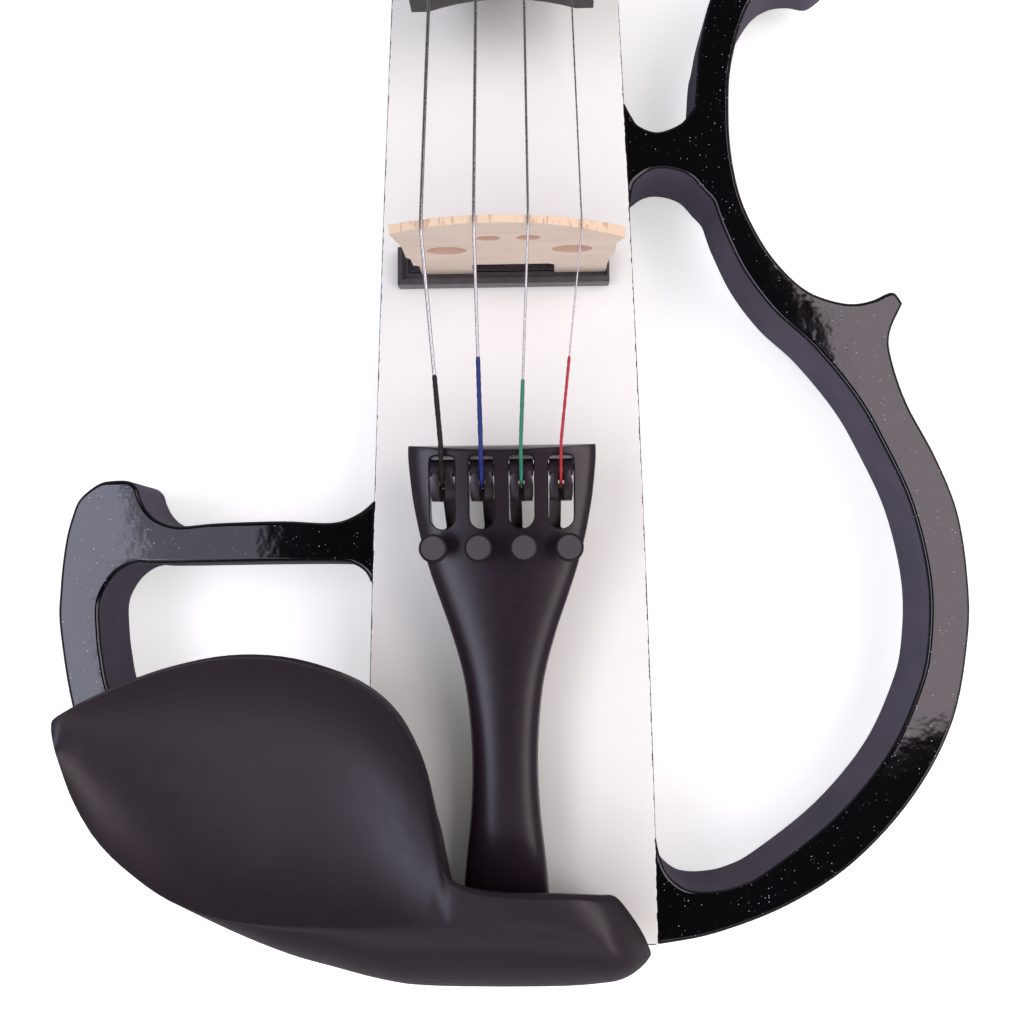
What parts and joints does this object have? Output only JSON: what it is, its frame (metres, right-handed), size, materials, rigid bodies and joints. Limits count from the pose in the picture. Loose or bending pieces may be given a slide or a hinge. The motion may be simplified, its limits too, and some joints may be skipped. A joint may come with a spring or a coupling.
{
  "type": "electric violin",
  "caption": "Full-size electric violin: straight centre body with an open wing on each side, built-in fine tuners, chin rest, and controls in the bass side.",
  "frame": {"origin": "on the flat back of the centre body, on its centre line, under the tail side of the bridge", "axes": "+X towards the treble side, +Y towards the scroll, +Z out of the strings' side"},
  "size_m": [0.2164, 0.5978, 0.0619],
  "materials": {
    "white_paint": "satin off-white paint",
    "black_sparkle": "gloss black lacquer with fine sparkle",
    "dark_wood": "satin",
    "maple": "bare",
    "dark_plastic": "satin",
    "black_plastic": "satin",
    "dark_metal": "dark plated",
    "bright_metal": "plated",
    "string_metal": "flat wound",
    "brass": "turned",
    "gut_plastic": "smooth",
    "cork": "cork",
    "board": "circuit board",
    "battery_case": "printed sleeve, plain"
  },
  "bodies": {
    "violin": {"centre_body": "white_paint", "treble_wing": "black_sparkle", "bass_wing": "black_sparkle", "fingerboard": "dark_wood", "neck": "black_sparkle", "nut": "dark_plastic", "bridge": "maple", "pickup_tray": "black_plastic", "pickup_bar": "dark_metal", "tailpiece": "dark_plastic", "tuner_axle": "dark_metal", "string_g": "string_metal", "string_d": "string_metal", "string_a": "string_metal", "string_e": "string_metal", "lower_saddle": "dark_wood", "end_button": "dark_wood", "tail_gut": "gut_plastic", "gut_nut_bass": "brass", "gut_nut_treble": "brass", "chin_rest": "dark_wood", "chin_rest_cork_bass": "cork", "chin_rest_cork_treble": "cork", "clamp_stud_bass": "bright_metal", "clamp_stud_treble": "bright_metal", "battery": "battery_case", "battery_clip": "black_plastic", "control_plate": "black_plastic", "headphone_jack": "bright_metal", "output_jack": "bright_metal", "preamp_board": "board"},
    "g_peg": {"peg_g": "dark_wood"},
    "d_peg": {"peg_d": "dark_wood"},
    "a_peg": {"peg_a": "dark_wood"},
    "e_peg": {"peg_e": "dark_wood"},
    "g_lever": {"tuner_lever_g": "dark_plastic"},
    "d_lever": {"tuner_lever_d": "dark_plastic"},
    "a_lever": {"tuner_lever_a": "dark_plastic"},
    "e_lever": {"tuner_lever_e": "dark_plastic"},
    "g_screw": {"tuner_screw_g": "dark_plastic"},
    "d_screw": {"tuner_screw_d": "dark_plastic"},
    "a_screw": {"tuner_screw_a": "dark_plastic"},
    "e_screw": {"tuner_screw_e": "dark_plastic"},
    "bass_barrel": {"clamp_barrel_bass": "bright_metal"},
    "treble_barrel": {"clamp_barrel_treble": "bright_metal"},
    "foot": {"clamp_foot": "bright_metal", "clamp_foot_cork": "cork"},
    "lid": {"battery_cover": "black_plastic"},
    "volume": {"volume_knob": "black_plastic"},
    "tone": {"tone_knob": "black_plastic"},
    "switch": {"power_switch": "black_plastic"}
  },
  "joints": [
    {"name": "peg_g_turn", "type": "hinge", "parent": "violin", "child": "g_peg", "pos_m": [0, 0.346, 0.024], "axis": [1, 0, 0], "range_deg": [-1260, 180]},
    {"name": "peg_d_turn", "type": "hinge", "parent": "violin", "child": "d_peg", "pos_m": [0, 0.373, 0.024], "axis": [1, 0, 0], "range_deg": [-1260, 180]},
    {"name": "peg_a_turn", "type": "hinge", "parent": "violin", "child": "a_peg", "pos_m": [0, 0.3865, 0.024], "axis": [1, 0, 0], "range_deg": [-1260, 180]},
    {"name": "peg_e_turn", "type": "hinge", "parent": "violin", "child": "e_peg", "pos_m": [0, 0.3595, 0.024], "axis": [1, 0, 0], "range_deg": [-1260, 180]},
    {"name": "screw_g_turn", "type": "hinge", "parent": "violin", "child": "g_screw", "pos_m": [-0.0151, -0.0678, 0.05], "axis": [0, 0, -1], "range_deg": [0, 1080]},
    {"name": "screw_d_turn", "type": "hinge", "parent": "violin", "child": "d_screw", "pos_m": [-0.0055, -0.0678, 0.05], "axis": [0, 0, -1], "range_deg": [0, 1080]},
    {"name": "screw_a_turn", "type": "hinge", "parent": "violin", "child": "a_screw", "pos_m": [0.0041, -0.0678, 0.05], "axis": [0, 0, -1], "range_deg": [0, 1080]},
    {"name": "screw_e_turn", "type": "hinge", "parent": "violin", "child": "e_screw", "pos_m": [0.0137, -0.0678, 0.05], "axis": [0, 0, -1], "range_deg": [0, 1080]},
    {"name": "lever_g_tilt", "type": "hinge", "parent": "violin", "child": "g_lever", "pos_m": [-0.0136, -0.05, 0.0476], "axis": [1, 0, 0], "range_deg": [0, 5.8]},
    {"name": "lever_d_tilt", "type": "hinge", "parent": "violin", "child": "d_lever", "pos_m": [-0.005, -0.05, 0.0476], "axis": [1, 0, 0], "range_deg": [0, 5.8]},
    {"name": "lever_a_tilt", "type": "hinge", "parent": "violin", "child": "a_lever", "pos_m": [0.0036, -0.05, 0.0476], "axis": [1, 0, 0], "range_deg": [0, 5.8]},
    {"name": "lever_e_tilt", "type": "hinge", "parent": "violin", "child": "e_lever", "pos_m": [0.0122, -0.05, 0.0476], "axis": [1, 0, 0], "range_deg": [0, 5.8]},
    {"name": "barrel_bass_turn", "type": "hinge", "parent": "violin", "child": "bass_barrel", "pos_m": [-0.0175, -0.1611, 0.0205], "axis": [0, 0, 1], "range_deg": [0, 900]},
    {"name": "barrel_treble_turn", "type": "hinge", "parent": "violin", "child": "treble_barrel", "pos_m": [0.0175, -0.1611, 0.0205], "axis": [0, 0, 1], "range_deg": [0, 900]},
    {"name": "foot_lower", "type": "slide", "parent": "violin", "child": "foot", "axis": [0, 0, -1], "range_m": [0, 0.0025]},
    {"name": "lid_open", "type": "hinge", "parent": "violin", "child": "lid", "pos_m": [0.005, 0.08155, 0.0012], "axis": [-1, 0, 0], "range_deg": [0, 90]},
    {"name": "volume_turn", "type": "hinge", "parent": "violin", "child": "volume", "pos_m": [-0.02559, 0.14298, 0.013], "axis": [-0.9992, 0.0406, 0], "range_deg": [-150, 150]},
    {"name": "tone_turn", "type": "hinge", "parent": "violin", "child": "tone", "pos_m": [-0.02618, 0.12849, 0.013], "axis": [-0.9992, 0.0406, 0], "range_deg": [-150, 150]},
    {"name": "power_slide", "type": "slide", "parent": "violin", "child": "switch", "axis": [0.0406, 0.9992, 0], "range_m": [0, 0.0026]}
  ],
  "couplings": [
    {"joint": "lever_g_tilt", "follows": "screw_g_turn", "ratio": 0.00537},
    {"joint": "lever_d_tilt", "follows": "screw_d_turn", "ratio": 0.00537},
    {"joint": "lever_a_tilt", "follows": "screw_a_turn", "ratio": 0.00537},
    {"joint": "lever_e_tilt", "follows": "screw_e_turn", "ratio": 0.00537},
    {"joint": "barrel_bass_turn", "follows": "foot_lower", "rad_per_m": 6283.2},
    {"joint": "barrel_treble_turn", "follows": "foot_lower", "rad_per_m": 6283.2}
  ]
}
